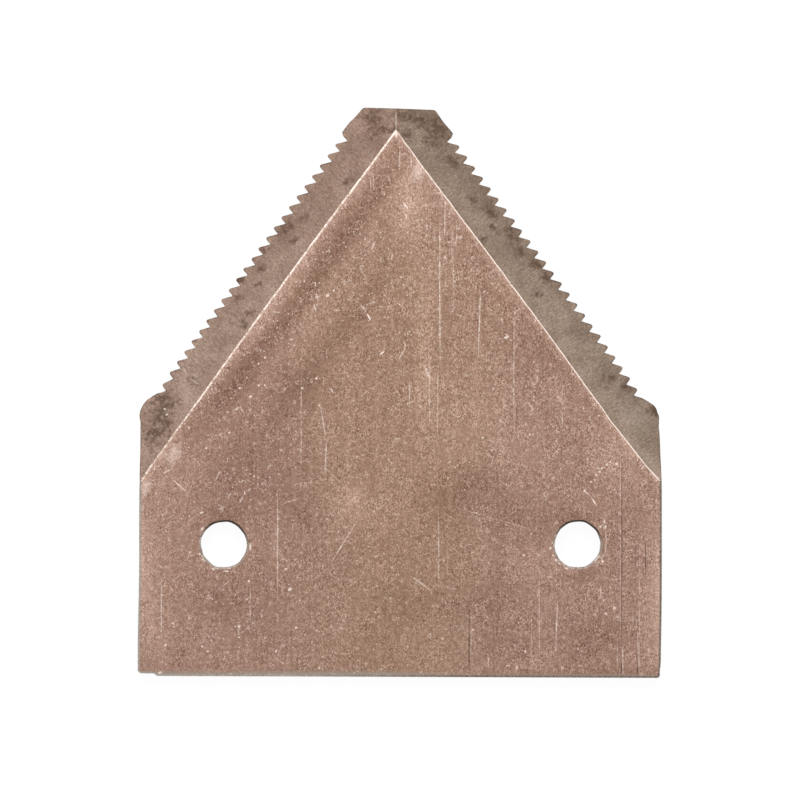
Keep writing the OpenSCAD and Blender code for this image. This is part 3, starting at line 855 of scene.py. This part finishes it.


# Rim that the punch drew down as it went in: the land's scale, stretched and cracked, with painted shade,
# near black, towards the tip, where the rim faces away from the light, and bright crumbs of bare metal
# towards the heel and on the left, gathered there as painted highlight on the lit lower rim, plus a painted
# highlight on the lower right rim of the right hole
rimFinish = {
    "dark": "#9b8273",
    "pale": "#e6d3c6",
    # painted shade on the tip side of the rim
    "paintedShade": "#4a3d34",
    # painted highlight, and where it sits
    "gleam": "#fff4ea",
    "gleams": ((28.23, -1.97, 0.8, 0.25, 55),),
    "grain": 0.35,
    "crumb": 0.45,
}


def punchedRim():
    material, tree, shader, place = newFinish("punch-drawn spring steel", 0.75, 0.5)
    grain = grainOf(tree, place, rimFinish["grain"], 3.0, 0.6)
    tint = put(tree, "ValToRGB", {0: grain}, ((0.3, rimFinish["dark"]), (0.7, rimFinish["pale"]))).outputs[0]
    axes = put(tree, "SeparateXYZ", {0: place}).outputs
    side = put(tree, "Math", {0: axes[0]}, operation="SIGN").outputs[0]
    fromBolt = weighted(tree, axes[0], ((side, -blade["boltX"]),))
    # painted shade: the tip side of each rim is darkened, as it faces away from the light
    paintedShade = weighted(tree, axes[1], ((fromBolt, 0.1), (grain, 1.2)))
    paintedShade = put(tree, "MapRange", {0: paintedShade, 1: 1.2, 2: 3.0, 4: 0.9}).outputs[0]
    tint = put(tree, "Mix", {0: paintedShade, 6: tint, 7: linear(rimFinish["paintedShade"])}, data_type="RGBA").outputs[2]
    # bright bare-metal crumbs, kept towards the heel and the left as painted highlight on the lower rim
    crumbsAndHighlight = put(tree, "MapRange", {
        0: grainOf(tree, place, rimFinish["crumb"], 1.0, shift=12), 1: 0.52, 2: 0.62,
    }).outputs[0]
    towardsHeel = put(tree, "MapRange", {
        0: weighted(tree, fromBolt, ((axes[1], 0.9),)), 1: 0.6, 2: -2.0, 4: 0.8,
    }).outputs[0]
    crumbsAndHighlight = put(tree, "Math", {0: crumbsAndHighlight, 1: towardsHeel}, operation="MULTIPLY", use_clamp=True).outputs[0]
    tint = put(tree, "Mix", {0: crumbsAndHighlight, 6: tint, 7: linear(land["bare"])}, data_type="RGBA").outputs[2]
    # painted highlight on the lower right rim of the right hole
    gleam = put(tree, "MapRange", {0: marksOf(tree, place, rimFinish["gleams"]), 1: 0.0, 2: 0.5}).outputs[0]
    tint = put(tree, "Mix", {0: gleam, 6: tint, 7: linear(rimFinish["gleam"])}, data_type="RGBA").outputs[2]
    tree.links.new(tint, shader.inputs["Base Color"])
    bump = put(tree, "Bump", {"Height": grain, "Distance": 0.05 * mm})
    tree.links.new(bump.outputs[0], shader.inputs["Normal"])
    return material


# Underside: the same scale as the land, darker, rubbed pale where it slides on the guards
underFinish = {
    "tones": ("#6f564c", "#957868", "#bda08f"),
    "grain": 0.3,
    "rub": 0.5,
    "rubStretch": 30,
    "cloud": 8,
}


def slidUnderside():
    material, tree, shader, place = newFinish("rubbed hot-rolled spring steel", 0.8, 0.5)
    grain = grainOf(tree, place, underFinish["grain"], 3.0, 0.6)
    rubbed = grainOf(tree, place, underFinish["rub"], longer=underFinish["rubStretch"])
    cloud = grainOf(tree, place, underFinish["cloud"], 3.0)
    tone = weighted(tree, -0.35, ((grain, 0.7), (rubbed, 0.5), (cloud, 0.5)))
    deep, between, light = underFinish["tones"]
    tint = put(tree, "ValToRGB", {0: tone}, ((0.15, deep), (0.85, light), (0.5, between)))
    tree.links.new(tint.outputs[0], shader.inputs["Base Color"])
    relief = weighted(tree, 0.0, ((grain, 0.02), (rubbed, 0.015)))
    bump = put(tree, "Bump", {"Height": relief, "Distance": mm})
    tree.links.new(bump.outputs[0], shader.inputs["Normal"])
    rough = weighted(tree, 0.4, ((grain, 0.2),))
    tree.links.new(rough, shader.inputs["Roughness"])
    return material


# Serration: cut by a profiled wheel, so the walls have lines along each groove
grooveFinish = {"dark": "#7d6a5f", "pale": "#b7a193", "line": 0.2, "lineStretch": 10}


def groundGroove():
    material, tree, shader, place = newFinish("wheel-cut spring steel", 0.85, 0.4)
    line = grainOf(tree, place, grooveFinish["line"], 3.0, 0.6, grooveFinish["lineStretch"])
    tint = put(tree, "ValToRGB", {0: line}, ((0.3, grooveFinish["dark"]), (0.7, grooveFinish["pale"])))
    tree.links.new(tint.outputs[0], shader.inputs["Base Color"])
    bump = put(tree, "Bump", {"Height": line, "Distance": 0.02 * mm})
    tree.links.new(bump.outputs[0], shader.inputs["Normal"])
    return material


made = {
    "land": heatTintedLand(),
    "bevel": groundBevel(),
    "ridge": burnishedRidgeAndHighlight(),
    "edge": shearedEdge("sheared spring steel", edgeFinish["sheared"]),
    "rubbed": shearedEdge("rubbed sheared spring steel", edgeFinish["rubbed"], blade["rubbedHeel"]),
    "punched": punchedRim(),
    "bore": shearedEdge("punched spring steel", edgeFinish["bored"]),
    "under": slidUnderside(),
    "groove": groundGroove(),
}
for name in finishes:
    knife.data.materials.append(made[name])
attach(knife, "root")
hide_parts(blade["node"])
print("materials:", ", ".join(material.name for material in made.values()))

# White sweep under plain soft light. The floor shows white to the camera and in reflections, and keeps a soft
# shadow.
studio = {
    "sky": 0.62,
    "keyPlace": (-0.04, 0.55, 0.75),
    "keySize": 0.6,
    "keyPower": 5.2,
    "floorGlow": 0.95,
    "floorTone": "#4a4a4a",      # what the glowing floor adds where light falls on it
    "floorPaper": "#eeeeee",     # what it throws back on the blade
    "floorSize": 8,
    "floorDrop": 0.1,            # mm under the blade
    "frameWidth": 114.9,         # mm across the picture at the top face
    "frameMiddle": (-0.09, 20.79),
    "lens": 600,
    "sensor": 36,
    "farthest": 20,
}
bpy.ops.mesh.primitive_plane_add(size=studio["floorSize"], location=(0, 0, -studio["floorDrop"] * mm))
floor = bpy.context.object
floor.name = "studioFloor"
bpy.ops.object.transform_apply(location=True, rotation=True, scale=True)

paper = bpy.data.materials.new("white studio paper")
paper.use_nodes = True
paperTree = paper.node_tree
paperTree.nodes.clear()
ray = put(paperTree, "LightPath").outputs
seen = ray["Is Camera Ray"]
for kind in ("Is Glossy Ray", "Is Transmission Ray"):
    seen = put(paperTree, "Math", {0: seen, 1: ray[kind]}, operation="MAXIMUM").outputs[0]
matt = put(paperTree, "BsdfDiffuse", {"Color": linear(studio["floorPaper"])})
shade = put(paperTree, "BsdfDiffuse", {"Color": linear(studio["floorTone"])})
glow = put(paperTree, "Emission", {"Color": linear("#ffffff"), "Strength": studio["floorGlow"]})
bright = put(paperTree, "AddShader", {0: shade.outputs[0], 1: glow.outputs[0]})
mixed = put(paperTree, "MixShader", {0: seen, 1: matt.outputs[0], 2: bright.outputs[0]})
put(paperTree, "OutputMaterial", {"Surface": mixed.outputs[0]})
floor.data.materials.append(paper)

world = bpy.data.worlds.new("softStudio")
bpy.context.scene.world = world
world.use_nodes = True
skyTree = world.node_tree
skyTree.nodes.clear()
rayIsCamera = put(skyTree, "LightPath").outputs["Is Camera Ray"]
strength = put(skyTree, "Mix", {0: rayIsCamera, 2: studio["sky"], 3: 1.0}).outputs[0]
sky = put(skyTree, "Background", {"Color": linear("#ffffff"), "Strength": strength})
put(skyTree, "OutputWorld", {"Surface": sky.outputs[0]})

bpy.ops.object.light_add(type="AREA", location=studio["keyPlace"])
key = bpy.context.object
key.name = "keyLight"
key.data.size = studio["keySize"]
key.data.energy = studio["keyPower"]
key.rotation_euler = (-Vector(studio["keyPlace"])).to_track_quat("-Z", "Y").to_euler()

bpy.ops.object.camera_add()
camera = bpy.context.object
camera.name = "photoCamera"
camera.data.lens = studio["lens"]
camera.data.sensor_width = studio["sensor"]
middle = studio["frameMiddle"]
distance = studio["frameWidth"] * studio["lens"] / studio["sensor"]
camera.location = Vector((middle[0], middle[1], thickness + distance)) * mm
camera.data.clip_end = studio["farthest"]
bpy.context.scene.camera = camera
bpy.context.scene.view_settings.view_transform = "Standard"
print("stage, light and camera placed")
